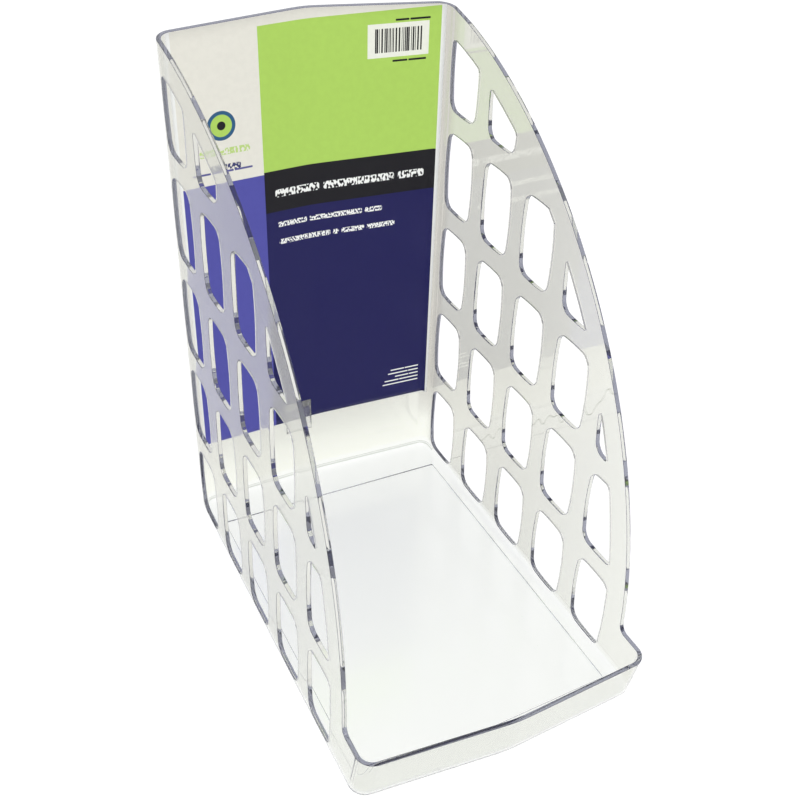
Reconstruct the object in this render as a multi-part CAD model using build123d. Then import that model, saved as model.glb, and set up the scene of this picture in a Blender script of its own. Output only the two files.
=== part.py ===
"""Clear upright magazine rack: one thin-walled plastic moulding and its printed card.

Frame: +Z up, +Y towards the tall back wall, X across the width. The model is drawn with
y = 0 on the back corners of the base and moved at the end, so that the origin is the
bottom centre of the whole object's bounding box. Distances called reach run forwards
from the back corners, towards -Y. All sizes are in millimetres.

The rack is moulded in one shot. It is written as five nodes that meet face to face on
plane cuts: the floor tray, the back wall, two windowed side walls and the front lip.
"""
import os
from math import radians, sqrt, tan

from build123d import *

# Overall plan and height
base_width = 178.0
base_depth = 265.5
side_rim_height = 328.0      # top of a side wall where it meets the back wall
back_rim_rise = 3.6          # the back wall's rim climbs this much to its middle

# Walls
wall = 2.6
floor_thickness = 3.0
corner_radius = 9.4          # vertical corners, outside, in plan
bottom_radius = 6.5          # outside edge between the floor and the walls
side_taper = 0.006           # the sides close in by this per unit of reach
side_flare = 0.005           # the sides open out by this per unit of height
back_lean = 1.4              # the back corners lean backwards by this at the rim

# Shallow V of the back wall and of the front
back_peak_base = 2.8
back_peak_rim = 8.4
front_peak = 6.8
peak_radius = 60.0

# Side profile and front lip
lip_height = 37.6
lip_lean = radians(12.5)
lip_run = 25.3               # straight side rim, from the curved edge to the front corner
lip_fillet = 7.5             # between the curved edge and the lip's rim

# Side windows: a grid of barrel-shaped holes, cut off along the curved edge
window_width = 33.0
window_height = 51.2
window_side_bulge = 1.9
window_end_bulge = 0.9
window_corner = 6.0
cut_window_corner = 3.0      # where the curved edge's margin cuts a window off
window_reach_pitch = 47.7
window_height_pitch = 64.7
window_back_gap = 0.8        # from the back corner's rounding to the first column
window_sill = 0.4            # from the bottom rounding to the lowest row
window_edge_margin = 16.5    # rim left between the windows and the curved edge
window_least_side = 11.0     # a cut-off window narrower or lower than this is left out

# Shallow hollow under the floor, which leaves a raised ring to stand on
foot_side = 9.0
foot_back = 27.5
foot_front = 16.5
foot_depth = 1.0
foot_corner = 1.5

# Printed card on the back wall, and the tape that holds its lower edge
card_left_gap = 6.3          # from the base's side to the card's edge
card_right_gap = 4.7
card_bottom_gap = 50.8
card_top_gap = 0.7           # from the card's top to the side rim's height
card_thickness = 0.35
tape_width = 19.0
tape_height = 24.0
tape_overlap = 14.4          # part of the tape's height that lies on the card
tape_right_edge = -4.0
tape_thickness = 0.15

# Values that follow
tray_height = bottom_radius
back_cut_reach = corner_radius
front_cut_reach = base_depth - corner_radius
side_reach = base_depth + lip_height * tan(lip_lean) - lip_run
shell_top = side_rim_height + back_rim_rise + 10.0
far = 1000.0                 # half size of the blocks that cut the shell apart


def side_x(y, height, inset=0.0):
    """Where the right side's plane lies at a given y and height."""
    return base_width / 2 + side_taper * y + side_flare * height - inset


def plan_outline(height, inset=0.0):
    """The shell's plan at one height: a box with a shallow V at the back and front."""
    share = height / side_rim_height
    back_y = back_lean * share - inset
    back_peak_y = back_y + back_peak_base + (back_peak_rim - back_peak_base) * share
    front_y = inset - base_depth - height * tan(lip_lean)
    back_half = side_x(back_y, height, inset)
    front_half = side_x(front_y, height, inset)
    corners = [
        (back_half, back_y),
        (0, back_peak_y),
        (-back_half, back_y),
        (-front_half, front_y),
        (0, front_y - front_peak),
        (front_half, front_y),
    ]
    plan = make_face(Polyline(*corners, close=True))
    peaks = plan.vertices().sort_by(lambda vertex: abs(vertex.X))[:2]
    plan = fillet(peaks, peak_radius)
    box_corners = plan.vertices().sort_by(lambda vertex: abs(vertex.X))[-4:]
    return Pos(0, 0, height) * fillet(box_corners, corner_radius - inset)


def block(low, inset=0.0):
    """The filled outline, drawn in by an inset, from a height up past the rim."""
    return loft([plan_outline(low, inset), plan_outline(shell_top, inset)], ruled=True)


def slab(low_x=-far, high_x=far, low_y=-far, high_y=far, low_z=-far, high_z=far):
    """A plain block between two corners."""
    size = (high_x - low_x, high_y - low_y, high_z - low_z)
    middle = ((low_x + high_x) / 2, (low_y + high_y) / 2, (low_z + high_z) / 2)
    return Pos(*middle) * Box(*size)


def edge_arc():
    """Reach and height of the centre of the side walls' curved edge, and its radius.

    The arc is upright at the lip's height and passes through the back corner's rim.
    """
    rise = side_rim_height - lip_height
    radius = (side_reach ** 2 + rise ** 2) / (2 * side_reach)
    return side_reach - radius, lip_height, radius


def under_side_profile():
    """Everything under the curved edge and the lip's rim, across the full width."""
    centre_reach, centre_height, radius = edge_arc()
    middle_reach = side_reach * 0.62
    middle_height = centre_height + sqrt(radius ** 2 - (middle_reach - centre_reach) ** 2)
    arc_foot = (-side_reach, lip_height)
    back_rim = (0, side_rim_height)
    edge = ThreePointArc(back_rim, (-middle_reach, middle_height), arc_foot)
    rest = Polyline(arc_foot, (-far, lip_height), (-far, -far), (far, -far),
                    (far, shell_top), (0, shell_top), back_rim)
    profile = make_face([edge, rest])
    inner_corner = profile.vertices().sort_by_distance((*arc_foot, 0))[0]
    return extrude(Plane.YZ * fillet(inner_corner, lip_fillet), far, both=True)


def under_back_rim():
    """Everything under the back wall's shallow roof-shaped rim."""
    peak = side_rim_height + back_rim_rise
    low_edge = peak - back_rim_rise / (base_width / 2) * far
    roof = make_face(Polyline((-far, -far), (far, -far), (far, low_edge),
                              (0, peak), (-far, low_edge), close=True))
    return extrude(Plane.XZ * roof, far, both=True)


def floor_tray():
    """The floor, with the rounded bottom edge all round and the hollow between its feet."""
    outside = block(0)
    outside = fillet(outside.faces().sort_by(Axis.Z)[0].edges(), bottom_radius)
    inside = block(floor_thickness, wall)
    inside_edges = inside.faces().sort_by(Axis.Z)[0].edges()
    inside = fillet(inside_edges, bottom_radius - floor_thickness)
    half = base_width / 2 - foot_side
    front_y = foot_front - base_depth
    hollow = make_face(Polyline((half, -foot_back), (-half, -foot_back), (-half, front_y),
                                (0, front_y - front_peak), (half, front_y), close=True))
    hollow_corners = hollow.vertices().sort_by(lambda vertex: abs(vertex.X))[-4:]
    hollow = extrude(fillet(hollow_corners, foot_corner), foot_depth)
    return (outside - inside - hollow) & slab(high_z=tray_height)


def leaving(edge, point):
    """The direction in which an edge leaves the end that lies at a point."""
    starts_here = (edge @ 0 - point).length < (edge @ 1 - point).length
    return edge % 0 if starts_here else -(edge % 1)


def round_corner(face, point, radius):
    """A face with one corner rounded, by less where a side next to it is short."""
    corner = face.vertices().sort_by_distance(point)[0]
    sides = [edge for edge in face.edges() if edge.distance_to(corner) < 0.001]
    first, second = (leaving(edge, corner.center()) for edge in sides)
    half_angle = radians(first.get_angle(second) / 2)
    room = 0.45 * min(edge.length for edge in sides) * tan(half_angle)
    return fillet(corner, min(radius, room))


def window(reach, height):
    """One barrel-shaped window in the side view, or None if the edge leaves no room."""
    half_width = window_width / 2 - window_side_bulge
    half_height = window_height / 2 - window_end_bulge
    front, back = -reach - half_width, -reach + half_width
    low, high = height - half_height, height + half_height
    barrel = make_face([
        ThreePointArc((front, low), (-reach, height - window_height / 2), (back, low)),
        ThreePointArc((back, low), (-reach + window_width / 2, height), (back, high)),
        ThreePointArc((back, high), (-reach, height + window_height / 2), (front, high)),
        ThreePointArc((front, high), (-reach - window_width / 2, height), (front, low)),
    ])
    centre_reach, centre_height, radius = edge_arc()
    radius -= window_edge_margin
    inside_edge = Pos(-centre_reach, centre_height) * Circle(radius)
    if not barrel.intersect(inside_edge):
        return None
    opening = barrel & inside_edge
    size = opening.bounding_box().size
    if min(size.X, size.Y) < window_least_side:
        return None
    rounded = fillet(barrel.vertices(), window_corner)
    if (rounded & inside_edge).area > rounded.area * 0.999:
        return rounded
    centre = Vector(-centre_reach, centre_height)
    for corner in [vertex.center() for vertex in opening.vertices()]:
        at_cut = abs((corner - centre).length - radius) < 0.01
        opening = round_corner(opening, corner, cut_window_corner if at_cut else window_corner)
    return opening


def windows():
    """All windows as bars that run through a side wall."""
    first_reach = back_cut_reach + window_back_gap + window_width / 2
    first_height = tray_height + window_sill + window_height / 2
    last_reach = front_cut_reach - window_width / 2
    columns = 1 + int((last_reach - first_reach) / window_reach_pitch)
    rows = 1 + int((side_rim_height - first_height) / window_height_pitch)
    bars = []
    for column in range(columns):
        for row in range(rows):
            opening = window(first_reach + column * window_reach_pitch,
                             first_height + row * window_height_pitch)
            if opening is not None:
                bars.append(extrude(Plane.YZ * opening, base_width, both=True))
    return bars


def right_side_wall():
    """The right side wall, a flat plate, with its curved edge and its windows."""
    back_y = -back_cut_reach
    low_x = side_x(back_y, tray_height)
    high_x = side_x(back_y, shell_top)
    section = make_face(Polyline(
        (low_x, back_y, tray_height), (high_x, back_y, shell_top),
        (high_x - wall, back_y, shell_top), (low_x - wall, back_y, tray_height), close=True))
    forwards = Vector(-side_taper, -1, 0) * (front_cut_reach - back_cut_reach)
    plate = Solid.extrude(section.face(), forwards)
    return (plate & under_side_profile()) - windows()


def lining(first, last, low_x, high_x, low_z, high_z):
    """A sheet on the back wall's inner face, between two distances from that face."""
    sheet = block(tray_height, wall + first) - block(tray_height, wall + last)
    return sheet & slab(low_x, high_x, -2 * corner_radius, far, low_z, high_z)


def tape():
    """Clear tape: it lies on the card, steps over its lower edge and sticks to the wall."""
    low_x = tape_right_edge - tape_width
    top = card_bottom_gap + tape_overlap
    fold = card_bottom_gap - tape_thickness
    outer = card_thickness + tape_thickness
    on_card = lining(card_thickness, outer, low_x, tape_right_edge, fold, top)
    step = lining(0, card_thickness, low_x, tape_right_edge, fold, card_bottom_gap)
    on_wall = lining(0, tape_thickness, low_x, tape_right_edge, top - tape_height, fold)
    return on_card + step + on_wall


walls = block(tray_height) - block(tray_height, wall)
walls = walls & under_side_profile() & under_back_rim()
side_wall = right_side_wall()

nodes = {
    "floor_tray": floor_tray(),
    "back_wall": walls & slab(low_y=-back_cut_reach),
    "right_side_wall": side_wall,
    "left_side_wall": mirror(side_wall, Plane.YZ),
    "front_lip": walls & slab(high_y=-front_cut_reach),
    "insert_card": lining(0, card_thickness, card_left_gap - base_width / 2,
                          base_width / 2 - card_right_gap, card_bottom_gap,
                          side_rim_height - card_top_gap),
    "card_tape": tape(),
}

boxes = [solid.bounding_box() for solid in nodes.values()]
middle_y = (max(box.max.Y for box in boxes) + min(box.min.Y for box in boxes)) / 2

os.makedirs("parts", exist_ok=True)
for name, solid in nodes.items():
    placed = Pos(0, -middle_y, 0) * solid
    placed.label = name
    export_step(placed, f"parts/{name}.step")
    size = placed.bounding_box().size
    print(f"{name}: {len(placed.solids())} solid, {placed.volume:.0f} mm3,",
          f"{size.X:.2f} x {size.Y:.2f} x {size.Z:.2f}")
print(f"back corners of the base at y = {-middle_y:.3f}")
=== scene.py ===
"""A clear upright magazine rack: one plastic moulding with a printed card taped inside its back."""
from math import radians, sqrt, tan

import bmesh
import bpy
from mathutils import Matrix, Vector


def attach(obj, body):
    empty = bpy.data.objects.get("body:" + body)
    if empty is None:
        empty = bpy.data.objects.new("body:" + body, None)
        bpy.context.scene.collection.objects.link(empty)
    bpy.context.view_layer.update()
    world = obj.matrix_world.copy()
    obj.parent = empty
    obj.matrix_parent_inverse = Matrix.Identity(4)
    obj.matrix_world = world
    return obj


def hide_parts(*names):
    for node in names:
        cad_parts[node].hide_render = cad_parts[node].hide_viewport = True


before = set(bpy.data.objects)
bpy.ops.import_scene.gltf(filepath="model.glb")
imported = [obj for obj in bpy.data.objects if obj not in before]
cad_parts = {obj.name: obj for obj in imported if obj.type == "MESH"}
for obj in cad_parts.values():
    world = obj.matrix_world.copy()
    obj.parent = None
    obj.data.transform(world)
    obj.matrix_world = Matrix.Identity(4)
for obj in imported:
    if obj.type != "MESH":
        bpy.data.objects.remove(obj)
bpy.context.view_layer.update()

# ---------------------------------------------------------------------------------------
# The studio: a pale floor that runs out of sight and glows a little, so that it stays white
# under the clear plastic, a soft overhead light and a pale room.
# The camera stands in front of the rack's left side and looks down into it.

camera_place = (-0.23596, -0.45471, 0.51072)
camera_heading = -27.05
camera_dip = 35.04
camera_roll = 2.05

camera_data = bpy.data.cameras.new("camera")
camera_data.lens = 49.86
camera_data.sensor_width = 36
camera_data.clip_start = 0.01
camera = bpy.data.objects.new("camera", camera_data)
camera.matrix_world = (
    Matrix.Translation(camera_place)
    @ Matrix.Rotation(radians(camera_heading), 4, "Z")
    @ Matrix.Rotation(radians(90 - camera_dip), 4, "X")
    @ Matrix.Rotation(radians(camera_roll), 4, "Z")
)
bpy.context.scene.collection.objects.link(camera)
bpy.context.scene.camera = camera
bpy.context.scene.view_settings.view_transform = "Standard"


class Value:
    """A shader socket that can be used in sums, or the maker of the node behind it."""

    def __init__(self, tree, socket=None):
        self.tree = tree
        self.socket = socket

    def node(self, kind, output=0, settings=None, **inputs):
        """Adds a node with its settings and inputs, and gives one of its outputs.

        An input is given by its name, with _ for a space, or as i and its number.
        """
        node = self.tree.nodes.new("ShaderNode" + kind)
        for name, setting in (settings or {}).items():
            if name == "stops":
                set_stops(node.color_ramp, setting)
            else:
                setattr(node, name, setting)
        for name, value in inputs.items():
            numbered = name[0] == "i" and name[1:].isdigit()
            key = int(name[1:]) if numbered else name.replace("_", " ")
            if isinstance(value, Value):
                self.tree.links.new(value.socket, node.inputs[key])
            else:
                node.inputs[key].default_value = value
        return Value(self.tree, node.outputs[output])

    def math(self, operation, *values):
        """A Math node on this value and others."""
        numbered = {f"i{index}": value for index, value in enumerate((self, *values))}
        return self.node("Math", settings={"operation": operation}, **numbered)

    def __add__(self, other):
        return self.math("ADD", other)

    def __sub__(self, other):
        return self.math("SUBTRACT", other)

    def __mul__(self, other):
        return self.math("MULTIPLY", other)

    def __truediv__(self, other):
        return self.math("DIVIDE", other)

    def __rsub__(self, other):
        return (self * -1.0) + other

    __radd__ = __add__
    __rmul__ = __mul__

    def above(self, edge, blur=0.0001):
        """1 above an edge and 0 below it."""
        return self.node("MapRange", i0=self, i1=edge - blur, i2=edge + blur)

    def within(self, low, high, blur=0.0001):
        """1 between two edges and 0 outside them."""
        return self.above(low, blur) * (1 - self.above(high, blur))

    def over(self, under, colour):
        """This value as a mask that lays a colour over another."""
        return self.node("Mix", output=2, settings={"data_type": "RGBA"},
                         i0=self, i6=under, i7=colour)


def set_stops(ramp, stops):
    """Gives a colour ramp its stops, each a place and a grey."""
    while len(ramp.elements) < len(stops):
        ramp.elements.new(1)
    for element, (place, grey) in zip(ramp.elements, stops):
        element.position = place
        element.color = (grey, grey, grey, 1)


def new_material(name):
    """An empty material with its output, and the value from which its nodes are made."""
    material = bpy.data.materials.new(name)
    material.use_nodes = True
    material.node_tree.nodes.clear()
    return material, Value(material.node_tree)


def finish_material(make, shader):
    """Links a shader to the output of its material."""
    output = make.tree.nodes.new("ShaderNodeOutputMaterial")
    make.tree.links.new(shader.socket, output.inputs["Surface"])


def srgb(red, green, blue):
    """A colour given in screen values from 0 to 255."""
    return tuple(((part / 255 + 0.055) / 1.055) ** 2.4 for part in (red, green, blue)) + (1,)


floor_reach = 12
below_rack = 0.0002
floor_grey = 0.88
floor_glow = 0.35

floor_mesh = bmesh.new()
bmesh.ops.create_grid(floor_mesh, x_segments=1, y_segments=1, size=floor_reach)
floor_data = bpy.data.meshes.new("floor")
floor_mesh.to_mesh(floor_data)
floor_mesh.free()
floor = bpy.data.objects.new("floor", floor_data)
floor.location.z = -below_rack
bpy.context.scene.collection.objects.link(floor)

floor_paper, make = new_material("floor_paper")
finish_material(make, make.node("BsdfPrincipled", Base_Color=(floor_grey,) * 3 + (1,),
                                Roughness=0.9, Emission_Color=(1, 1, 1, 1),
                                Emission_Strength=floor_glow))
floor_data.materials.append(floor_paper)

room_greys = [(0.0, 1.0), (0.12, 0.75), (0.5, 0.7), (1.0, 1.0)]
room_strength = 0.8

world = bpy.data.worlds.new("room")
bpy.context.scene.world = world
world.use_nodes = True
world.node_tree.nodes.clear()
make = Value(world.node_tree)
height = make.node("SeparateXYZ", output=2, i0=make.node("TexCoord"))
glow = make.node("ValToRGB", settings={"stops": room_greys}, i0=height)
background = make.node("Background", Color=glow, Strength=room_strength)
output = make.tree.nodes.new("ShaderNodeOutputWorld")
make.tree.links.new(background.socket, output.inputs["Surface"])

sun_data = bpy.data.lights.new("soft_key", "SUN")
sun_data.energy = 0.8
sun_data.angle = radians(50)
sun = bpy.data.objects.new("soft_key", sun_data)
sun.rotation_euler = (radians(38), 0, radians(-20))
bpy.context.scene.collection.objects.link(sun)

# ---------------------------------------------------------------------------------------
# The rack's moulding: floor, back, two windowed sides and front lip, injection moulded in
# one shot from clear polystyrene. It is first made square and upright, then given the lean,
# the shallow V of its back and front and the slight toe-in of its sides.
# Sizes are in millimetres, with y = 0 on the back corners of the base.

back_corner_y = 135.42
half_width = 89.0
lip_height = 37.6
lip_lean = tan(radians(12.5))
floor_depth = 265.5
depth = floor_depth + lip_height * lip_lean
rim_height = 328.0
wall = 2.6
floor_thickness = 3.0
corner_radius = 9.4
bottom_radius = 6.5

# The sides' curved edge is a circular arc that starts upright, a little behind the lip's rim.
lip_run = 25.3
arc_foot = depth - lip_run
arc_radius = (arc_foot ** 2 + (rim_height - lip_height) ** 2) / (2 * arc_foot)
arc_centre = (0, arc_radius - arc_foot, lip_height)

# The bends that make the real shape of the square one. The ridges are the shallow V's depth
# at the back's foot, what it gains by the rim, and its depth at the front.
back_lean = 1.4
back_ridge = 2.8
back_ridge_gain = 5.6
front_ridge = 6.8
rim_peak = 3.6
ridge_share = 0.97
ridge_rounding = 0.05
side_flare = 0.005
side_toe_in = 0.0000811


def smooth_step(value, low, high):
    """Eases from 0 at low to 1 at high."""
    share = min(max((value - low) / (high - low), 0), 1)
    return share * share * (3 - 2 * share)


def in_shape(x, y, z):
    """Where a point of the square moulding lies in the real one."""
    reach = -y
    level = z / rim_height
    off_middle = sqrt((x / half_width) ** 2 + ridge_rounding ** 2) - ridge_rounding
    ridge = ridge_share * (1 - off_middle / (1 - ridge_rounding))
    at_back = 1 - smooth_step(reach, 12, 30)
    at_front = smooth_step(reach, 225, 262)
    y += at_back * (back_lean * level + (back_ridge + back_ridge_gain * level) * ridge)
    y -= at_front * front_ridge * ridge
    y += max(lip_height - z, 0) * lip_lean * smooth_step(reach, 250, 262)
    x *= 1 + (side_flare * z - side_toe_in * z * reach) / half_width
    z *= 1 + at_back * ridge * rim_peak / rim_height
    return Vector((x, y, z))


def block(low, high):
    """A bmesh block between two corners."""
    mesh = bmesh.new()
    bmesh.ops.create_cube(mesh, size=1)
    low, high = Vector(low), Vector(high)
    bmesh.ops.scale(mesh, vec=high - low, verts=mesh.verts)
    bmesh.ops.translate(mesh, vec=(low + high) / 2, verts=mesh.verts)
    return mesh


def round_edges(mesh, edges, radius, segments):
    """Rounds some edges of a mesh."""
    bmesh.ops.bevel(mesh, geom=edges, offset=radius, segments=segments, affect="EDGES",
                    profile=0.5, material=-1, clamp_overlap=True)


def runs_along(edge, axis):
    """True for an edge that is parallel to an axis."""
    step = edge.verts[0].co - edge.verts[1].co
    return abs(step[axis]) > 0.999 * step.length


def cut_block(low, high, upright_radius, bottom_radius):
    """A block with rounded upright corners and a rounded bottom edge."""
    mesh = block(low, high)
    round_edges(mesh, [edge for edge in mesh.edges if runs_along(edge, 2)], upright_radius, 10)
    bottom = [edge for edge in mesh.edges
              if all(abs(vert.co.z - low[2]) < 0.01 for vert in edge.verts)]
    if bottom_radius:
        round_edges(mesh, bottom, bottom_radius, 8)
    return mesh


def as_object(mesh, name):
    """A finished bmesh as an object in the scene."""
    data = bpy.data.meshes.new(name)
    mesh.to_mesh(data)
    mesh.free()
    made = bpy.data.objects.new(name, data)
    bpy.context.scene.collection.objects.link(made)
    return made


def combine(target, tool, operation):
    """Cuts one object with another, which is used up."""
    step = target.modifiers.new("cut", "BOOLEAN")
    step.operation = operation
    step.solver = "EXACT"
    step.object = tool
    depsgraph = bpy.context.evaluated_depsgraph_get()
    result = bpy.data.meshes.new_from_object(target.evaluated_get(depsgraph))
    target.modifiers.clear()
    target.data = result
    bpy.data.objects.remove(tool)


def thicken(mesh, width):
    """Pulls a flat sheet out along x into a closed solid."""
    pulled = bmesh.ops.extrude_face_region(mesh, geom=mesh.faces[:])["geom"]
    far_side = [item for item in pulled if isinstance(item, bmesh.types.BMVert)]
    bmesh.ops.translate(mesh, vec=(width, 0, 0), verts=far_side)
    bmesh.ops.recalc_face_normals(mesh, faces=mesh.faces)


def arc_sector(inner, outer, first, last, steps, half):
    """A solid ring sector about the curved edges' centre, with its axis along x."""
    mesh = bmesh.new()
    ends = [mesh.verts.new((-half, arc_centre[1] - radius, arc_centre[2]))
            for radius in (inner, outer)]
    line = mesh.edges.new(ends)
    bmesh.ops.rotate(mesh, cent=arc_centre, matrix=Matrix.Rotation(-first, 3, "X"),
                     verts=mesh.verts)
    bmesh.ops.spin(mesh, geom=[*ends, line], cent=arc_centre, axis=(1, 0, 0), angle=first - last,
                   steps=steps, use_merge=False)
    thicken(mesh, 2 * half)
    return mesh


# The outer block and the inside stand well over the rim, and the cutting tools' ends stand
# well clear of the sides.
outer_top = 345
inside_top = 360
clear_of_sides = 120
foot_fillet = 7.5

shell = as_object(cut_block((-half_width, -depth, 0), (half_width, 0, outer_top), corner_radius,
                            bottom_radius), "clear_moulding")
inside = cut_block((wall - half_width, wall - depth, floor_thickness),
                   (half_width - wall, -wall, inside_top), corner_radius - wall,
                   bottom_radius - floor_thickness)
combine(shell, as_object(inside, "inside"), "DIFFERENCE")

over_rim = arc_sector(arc_radius, arc_radius + 320, 0, radians(115), 120, clear_of_sides)
foot_edges = [edge for edge in over_rim.edges if runs_along(edge, 0)
              and all((vert.co - Vector((vert.co.x, -arc_foot, lip_height))).length < 0.01
                      for vert in edge.verts)]
round_edges(over_rim, foot_edges, foot_fillet, 8)
combine(shell, as_object(over_rim, "over_rim"), "DIFFERENCE")

# The windows: columns from the back wall forwards, rows from the floor up. The rows are
# shorter towards the top, where the curved edge leaves less room. A window's sides swell and
# its ends are crowned, and the curved edge cuts it off at a constant margin.
windows_in_row = (5, 5, 5, 4, 2)
first_column, column_pitch = 26.7, 47.7
first_row, row_pitch = 32.5, 64.7
side_swell, end_crown = 1.9, 0.9
window_half = (16.5 - side_swell, 25.6 - end_crown)
window_corner = 5.6
rim_margin = 16.5
cut_corner_radius = 3
longest_cut_corner = 6


def window_bar(reach, height):
    """A barrel-shaped bar that runs through both sides of the rack."""
    mesh = bmesh.new()
    bmesh.ops.create_grid(mesh, x_segments=1, y_segments=1, size=1)
    bmesh.ops.scale(mesh, vec=(*window_half, 1), verts=mesh.verts)
    bmesh.ops.bevel(mesh, geom=mesh.verts[:], offset=window_corner, segments=6,
                    affect="VERTICES", profile=0.5, material=-1)
    straight = [edge for edge in mesh.edges if edge.calc_length() > 12]
    bmesh.ops.subdivide_edges(mesh, edges=straight, cuts=4)
    for vert in mesh.verts:
        along, up = vert.co.x / window_half[0], vert.co.y / window_half[1]
        swell = (1 - up * up) * along * side_swell
        crown = (1 - along * along) * up * end_crown
        vert.co = (-clear_of_sides, -reach + vert.co.x + swell, height + vert.co.y + crown)
    thicken(mesh, 2 * clear_of_sides)
    return mesh


def turn_of(edge):
    """The angle between the two faces at an edge."""
    return edge.calc_face_angle(0)


for row, count in enumerate(windows_in_row):
    for column in range(count):
        bar = window_bar(first_column + column_pitch * column, first_row + row_pitch * row)
        bar = as_object(bar, "window")
        keep = arc_sector(1, arc_radius - rim_margin, radians(-60), radians(110), 60,
                          clear_of_sides + 10)
        combine(bar, as_object(keep, "under_edge"), "INTERSECT")
        mesh = bmesh.new()
        mesh.from_mesh(bar.data)
        bmesh.ops.remove_doubles(mesh, verts=mesh.verts, dist=0.05)
        corners = [edge for edge in mesh.edges if runs_along(edge, 0) and turn_of(edge) > 0.5]
        for corner in corners:
            offset = cut_corner_radius * tan(turn_of(corner) / 2)
            round_edges(mesh, [corner], min(offset, longest_cut_corner), 5)
        mesh.to_mesh(bar.data)
        mesh.free()
        combine(shell, bar, "DIFFERENCE")

# A shallow hollow under the floor leaves a raised ring to stand on.
hollow_half, hollow_front, hollow_back, hollow_depth = 80, 249, 27.5, 1
hollow = cut_block((-hollow_half, -hollow_front, -5), (hollow_half, -hollow_back, hollow_depth),
                   1.5, 0)
combine(shell, as_object(hollow, "foot_hollow"), "DIFFERENCE")

# Every sharp edge is rounded a little. The rounding is marked on_edge, where the material paints
# it dark as painted shade for the light that it traps: fully on the rims, the windows and the
# hollow's back step, and faintly on the hollow's other edges.
edge_radius = 0.5
faint = 0.2

mesh = bmesh.new()
mesh.from_mesh(shell.data)
bmesh.ops.remove_doubles(mesh, verts=mesh.verts, dist=0.02)
on_edge = mesh.faces.layers.float.new("on_edge")
sharp = [edge for edge in mesh.edges if turn_of(edge) > radians(50)]
softened = bmesh.ops.bevel(mesh, geom=sharp, offset=edge_radius, segments=2, affect="EDGES",
                           profile=0.5, material=-1, clamp_overlap=True)
for face in softened["faces"]:
    middle = face.calc_center_median()
    face[on_edge] = faint if middle.z < 2 and middle.y < -30 else 1
for face in mesh.faces:
    middle = face.calc_center_median()
    if middle.z < hollow_depth + 0.3 and abs(middle.y + hollow_back) < 0.7:
        face[on_edge] = 1


def score(mesh, place, across):
    """Cuts every face on a plane, so that the mesh can bend there."""
    bmesh.ops.bisect_plane(mesh, geom=mesh.verts[:] + mesh.edges[:] + mesh.faces[:],
                           plane_co=place, plane_no=across, dist=0.001)


# The square moulding is scored in all three directions before it is bent. The scores lie
# closer together at the ridges in the middle of the back and the front.
half_scores = (4, 8, 13, 20, 30, 42, 54, 66, 76, 84)
for reach in range(6, 276, 9):
    score(mesh, (0, -reach, 0), (0, 1, 0))
for height in range(12, 330, 9):
    score(mesh, (0, 0, height), (0, 0, 1))
for side in (*(-side for side in reversed(half_scores)), 0, *half_scores):
    score(mesh, (side, 0, 0), (1, 0, 0))
for vert in mesh.verts:
    vert.co = (in_shape(*vert.co) + Vector((0, back_corner_y, 0))) * 0.001
for face in mesh.faces:
    face.smooth = True
mesh.to_mesh(shell.data)
mesh.free()
weights = shell.modifiers.new("even_shading", "WEIGHTED_NORMAL")
weights.mode = "FACE_AREA"
weights.weight = 80

# Clear plastic with a faint haze and ripple. Its tint is painted shade: the walls are painted
# greyer than the floor and greyest towards the back, the foot of the back is painted paler again as
# painted light, and the upright back corner on the right is painted darker still.
floor_tint = (0.94, 0.95, 0.94, 1)
front_wall_shade_tint = (0.82, 0.825, 0.78, 1)
back_wall_shade_tint = (0.70, 0.70, 0.65, 1)
back_foot_light_tint = (0.90, 0.91, 0.84, 1)
corner_shade_tint = (0.58, 0.565, 0.52, 1)
weld_tint = (0.42, 0.43, 0.37, 1)
# Painted shade: the crease line at the back wall's foot and the dark rounded edges.
crease_shade_tint = (0.50, 0.53, 0.47, 1)
edge_shade = (0.02, 0.02, 0.06, 1)
floor_roughness = 0.11

clear_plastic, make = new_material("clear_polystyrene")
place = make.node("TexCoord", output="Object")
flow = make.node("TexNoise", i0=place, Scale=9.0, Detail=2.0, Roughness=0.5)
smudge = make.node("TexNoise", i0=place, Scale=35.0, Detail=3.0, Roughness=0.6)
spot = make.node("SeparateXYZ", i0=place).socket.node.outputs
across, depthwise, up = (Value(make.tree, part) for part in spot)
upright = up.above(0.008, 0.003)
polish = smudge.node("MapRange", i0=smudge, i1=0.4, i2=0.75, i3=0.015, i4=0.07)
roughness = polish + (1 - upright) * floor_roughness
ripple = make.node("Bump", Strength=0.08, Distance=0.002, Height=flow)
# Painted shade: the walls are painted darker towards the back and lighter towards the front.
towards_front = depthwise.node("MapRange", i0=depthwise, i1=0.02, i2=-0.11)
wall_tint = towards_front.over(back_wall_shade_tint, front_wall_shade_tint)
# Painted light: the foot of the back is painted paler, lifting the card's shadow seen through it.
low_back = depthwise.above(0.128, 0.003) * (1 - up.above(0.045, 0.02))
wall_tint = low_back.over(wall_tint, back_foot_light_tint)
# Painted shade: the upright back corner on the right is painted darker.
back_corner = depthwise.above(0.122, 0.004) * across.above(0.080, 0.002) * up.above(0.045, 0.02)
wall_tint = back_corner.over(wall_tint, corner_shade_tint)
tint = upright.over(floor_tint, wall_tint)

# A thin weld line wanders up the right side, where two streams of plastic met.
reach = 0.1354 - depthwise
wander = make.node("TexNoise", settings={"noise_dimensions": "1D"}, W=reach, Scale=75.0,
                   Detail=1.0)
off_line = (up - (reach - 0.054) * 0.92 - 0.034 - (wander - 0.5) * 0.022).math("ABSOLUTE")
weld = (1 - off_line.above(0.0003, 0.0002)) * across.above(0.083) * reach.within(0.06, 0.215)
tint = weld.over(tint, weld_tint)

# A faint crease line of painted shade runs along the foot of the back wall.
crease_shade = up.within(0.0043, 0.0052, 0.0003) * depthwise.above(0.120)
tint = crease_shade.over(tint, crease_shade_tint)
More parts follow.
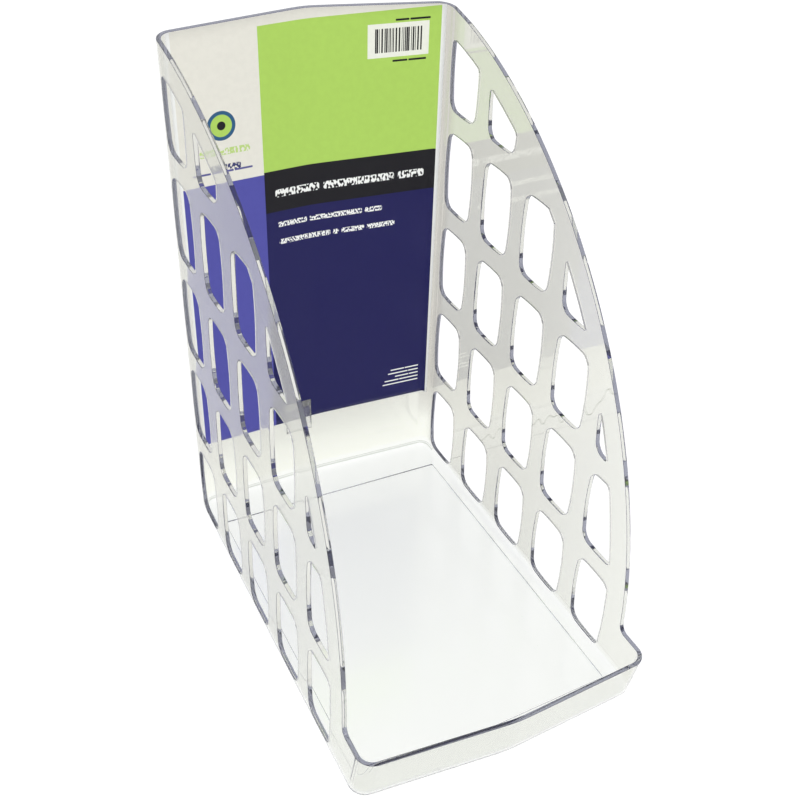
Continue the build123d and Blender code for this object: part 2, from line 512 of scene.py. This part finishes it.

# The rounded edges get near-black painted shade, which fades in the middle of the hollow's back
# step.
edge = make.node("Attribute", output="Fac", settings={"attribute_name": "on_edge"})
middle_of_riser = (1 - across.math("ABSOLUTE").above(0.035, 0.022)) * depthwise.above(0.1)
edge = edge * (1 - middle_of_riser * (1 - up.above(0.0015)) * 0.85)
tint = edge.over(tint, edge_shade)
plastic = make.node("BsdfPrincipled", Base_Color=tint, Roughness=roughness,
                    IOR=1.57, Transmission_Weight=1.0, Normal=ripple)

# Light that is caught inside a thin wall leaks out tinted after three reflections, and the
# plastic is plainly clear to the light that falls through it.
leak = make.node("BsdfTransparent", Color=(0.34, 0.35, 0.44, 1))
trapped = make.node("LightPath", output="Glossy Depth").math("GREATER_THAN", 3.0)
plastic = make.node("MixShader", i0=trapped, i1=plastic, i2=leak)


def clear_to_light(make, shader, colour):
    """Lets soft light and shadow rays straight through a clear shader."""
    clear = make.node("BsdfTransparent", Color=colour)
    for ray in ("Is Diffuse Ray", "Is Shadow Ray"):
        shader = make.node("MixShader", i0=make.node("LightPath", output=ray), i1=shader, i2=clear)
    return shader


finish_material(make, clear_to_light(make, plastic, (0.975, 0.978, 0.97, 1)))
shell.data.materials.clear()
shell.data.materials.append(clear_plastic)
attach(shell, "root")
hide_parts("floor_tray", "back_wall", "left_side_wall", "right_side_wall", "front_lip")

# ---------------------------------------------------------------------------------------
# The printed card: stiff semi-gloss paper that fills the inside of the back wall and stands
# free of it by a hair. It is printed in one pass on its front, and its back is plain white.

card_low, card_high = Vector((-82.7, 0, 50.8)), Vector((84.3, 0, 327.3))
card_near, card_far = wall + 0.05, wall + 0.4


def against_wall(x, y, z):
    """Where a point lies on the inner face of the back wall, bent with its corners."""
    bend = max(abs(x) - (half_width - corner_radius), 0)
    inner = corner_radius - wall
    curl = inner - sqrt(max(inner * inner - bend * bend, 0))
    return (in_shape(x, y - curl, z) + Vector((0, back_corner_y, 0))) * 0.001


def lined_sheet(name, low, high, near, far):
    """A thin sheet on the back wall's inner face, scored and bent like it."""
    mesh = block((low.x, -far, low.z), (high.x, -near, high.z))
    for side in range(int(low.x) + 1, int(high.x), 3):
        score(mesh, (side, 0, 0), (1, 0, 0))
    for level in range(int(low.z) + 5, int(high.z), 12):
        score(mesh, (0, 0, level), (0, 0, 1))
    for vert in mesh.verts:
        vert.co = against_wall(*vert.co)
    for face in mesh.faces:
        face.smooth = max(abs(part) for part in face.normal.xz) < 0.5
    return as_object(mesh, name)


card = lined_sheet("printed_card", card_low, card_high, card_near, card_far)

printed_card, make = new_material("printed_card")
place = make.node("TexCoord", output="Object")
spot = make.node("SeparateXYZ", i0=place).socket.node.outputs
across, _, up = (Value(make.tree, part) for part in spot)


def rounded_bar(left, right, low, high, radius):
    """A mask for a bar with rounded ends, in metres on the card."""
    middle_x, middle_z = (left + right) / 2, (low + high) / 2
    flat_side, flat_rise = (right - left) / 2 - radius, (high - low) / 2 - radius
    side = ((across - middle_x).math("ABSOLUTE") - flat_side).math("MAXIMUM", 0.0)
    rise = ((up - middle_z).math("ABSOLUTE") - flat_rise).math("MAXIMUM", 0.0)
    away = (side * side + rise * rise).math("SQRT")
    return 1 - away.above(radius, 0.00012)


def word_line(left, right, low, high, words, letter=None):
    """A line of small bars in place of words, as wide as their shares of the line.

    With a letter's pitch, the bars are broken up into strokes that are no letters.
    """
    mask = None
    start = left
    gap = (high - low) * 0.55
    room = right - left - gap * (len(words) - 1)
    for word in words:
        end = start + room * word / sum(words)
        bar = rounded_bar(start, end, low, high, (high - low) * 0.3)
        mask = bar if mask is None else mask.math("MAXIMUM", bar)
        start = end + gap
    if letter:
        place = make.node("CombineXYZ", i0=across / letter, i1=up / letter * 0.6)
        strokes = make.node("TexNoise", settings={"noise_dimensions": "2D"}, i0=place, Scale=3.6,
                            Detail=0.0)
        mask = mask * strokes.above(0.44, 0.05)
    return mask


cream = srgb(233, 231, 221)
lime = srgb(176, 214, 98)
navy = srgb(27, 26, 86)
violet = srgb(82, 82, 168)
black = srgb(22, 21, 28)
white = srgb(246, 247, 245)

# The fields, in metres: a narrow left column of violet under cream, and a wide right column of
# navy, a black title band and lime under a thin cream strip along the top.
column_line = -0.0304
violet_top = 0.2365
navy_top = 0.2110
band_top = 0.2378
strip_low, strip_slope = 0.3268, 0.02
left_field = up.above(violet_top).over(violet, cream)
right_field = up.above(navy_top).over(navy, black)
right_field = up.above(band_top).over(right_field, lime)
top_strip = (up + (0.084 - across) * strip_slope).above(strip_low)
right_field = top_strip.over(right_field, cream)
colour = across.above(column_line).over(left_field, right_field)

# The pale label with stripes that code nothing, and a line of small print over and under it.
stripes_left, stripes_width = 0.0418, 0.0296
colour = rounded_bar(0.0372, 0.0759, 0.2986, 0.3185, 0.0003).over(colour, srgb(240, 242, 230))
stripe_place = (across - stripes_left) / stripes_width
stripes = make.node("TexNoise", settings={"noise_dimensions": "1D"}, W=stripe_place * 30.0,
                    Scale=1.0, Detail=0.0)
bars = (stripes.above(0.5, 0.01) * across.within(stripes_left, stripes_left + stripes_width)
        * up.within(0.3015, 0.3156))
colour = bars.over(colour, black)
colour = word_line(0.0545, 0.0765, 0.3196, 0.3208, (4, 6)).over(colour, black)
colour = word_line(0.0530, 0.0745, 0.2956, 0.2968, (5, 6)).over(colour, black)

# The title's strokes, two lines of text under it, and a block of small print at the foot.
title_pitch, text_pitch = 0.0054, 0.00345
colour = word_line(-0.0236, 0.0759, 0.2204, 0.2254, (5, 8, 3), title_pitch).over(colour, white)
colour = word_line(-0.0225, 0.0477, 0.2004, 0.2038, (5, 9, 3), text_pitch).over(colour, white)
colour = word_line(-0.0221, 0.0567, 0.1886, 0.1920, (9, 1, 4, 5), text_pitch).over(colour, white)
for line, (start, words) in enumerate(((0.0565, (3, 3)), (0.0545, (4, 2)), (0.0600, (3, 2)),
                                       (0.0520, (3, 4)), (0.0505, (6,)))):
    low = 0.0745 - 0.0029 * line
    colour = word_line(start, 0.0777, low, low + 0.0009, words).over(colour, white)

# The emblem, a ring with a dot, and the strokes under it.
emblem_x, emblem_z = -0.0555, 0.2714
emblem_pitch = 0.0045
side, rise = across - emblem_x, up - emblem_z
ring = (side * side + rise * rise).math("SQRT")
colour = (1 - ring.above(0.0088)).over(colour, srgb(44, 92, 132))
colour = (1 - ring.above(0.0066)).over(colour, lime)
colour = (1 - ring.above(0.0026)).over(colour, black)
upper_strokes = word_line(-0.0700, -0.0385, 0.2538, 0.2578, (9,), emblem_pitch)
colour = upper_strokes.over(colour, srgb(190, 216, 132))
lower_strokes = word_line(-0.0630, -0.0448, 0.2440, 0.2480, (5,), emblem_pitch)
colour = lower_strokes.over(colour, srgb(58, 62, 110))
colour = word_line(-0.0731, -0.0375, 0.2430, 0.2442, (4, 6, 5)).over(colour, srgb(90, 90, 150))

# The trimmed edge and the back are white, and the paper has a fine grain.
edge_margin = 1 - (across.within(-0.0817, 0.0833) * up.within(0.0518, 0.4))
colour = edge_margin.over(colour, white)
facing = make.node("SeparateXYZ", output=1, i0=make.node("TexCoord", output="Normal"))
colour = facing.above(0.0, 0.2).over(colour, white)
grain = make.node("TexNoise", i0=place, Scale=260.0, Detail=2.0)
shade = grain.node("MapRange", i0=grain, i1=0.35, i2=0.65, i3=0.97, i4=1.0)
colour = make.node("Mix", output=2, settings={"data_type": "RGBA", "blend_type": "MULTIPLY"},
                   i0=1.0, i6=colour, i7=shade)
gloss = grain.node("MapRange", i0=grain, i1=0.3, i2=0.7, i3=0.32, i4=0.42)
tooth = make.node("Bump", Strength=0.03, Distance=0.0002, Height=grain)
finish_material(make, make.node("BsdfPrincipled", Base_Color=colour, Roughness=gloss, Normal=tooth,
                                Specular_IOR_Level=0.22))
card.data.materials.append(printed_card)
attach(card, "root")
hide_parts("insert_card")

# ---------------------------------------------------------------------------------------
# The tape: a short strip of clear plastic tape over the card's lower edge. It is torn off a
# roll and pressed on by hand, half on the card and half on the wall.

tape_low, tape_high = Vector((-23, 0, 41.2)), Vector((-4, 0, 65.2))
tape_near, tape_far = wall + 0.45, wall + 0.6
tape = lined_sheet("clear_tape", tape_low, tape_high, tape_near, tape_far)

clear_tape, make = new_material("clear_tape")
haze = make.node("TexNoise", i0=make.node("TexCoord", output="Object"), Scale=90.0, Detail=2.0)
rough = haze.node("MapRange", i0=haze, i1=0.3, i2=0.7, i3=0.1, i4=0.25)
film = make.node("BsdfPrincipled", Base_Color=(0.94, 0.94, 0.95, 1), Roughness=rough, IOR=1.48,
                 Transmission_Weight=0.95)
finish_material(make, clear_to_light(make, film, (0.95, 0.95, 0.95, 1)))
tape.data.materials.append(clear_tape)
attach(tape, "root")
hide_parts("card_tape")
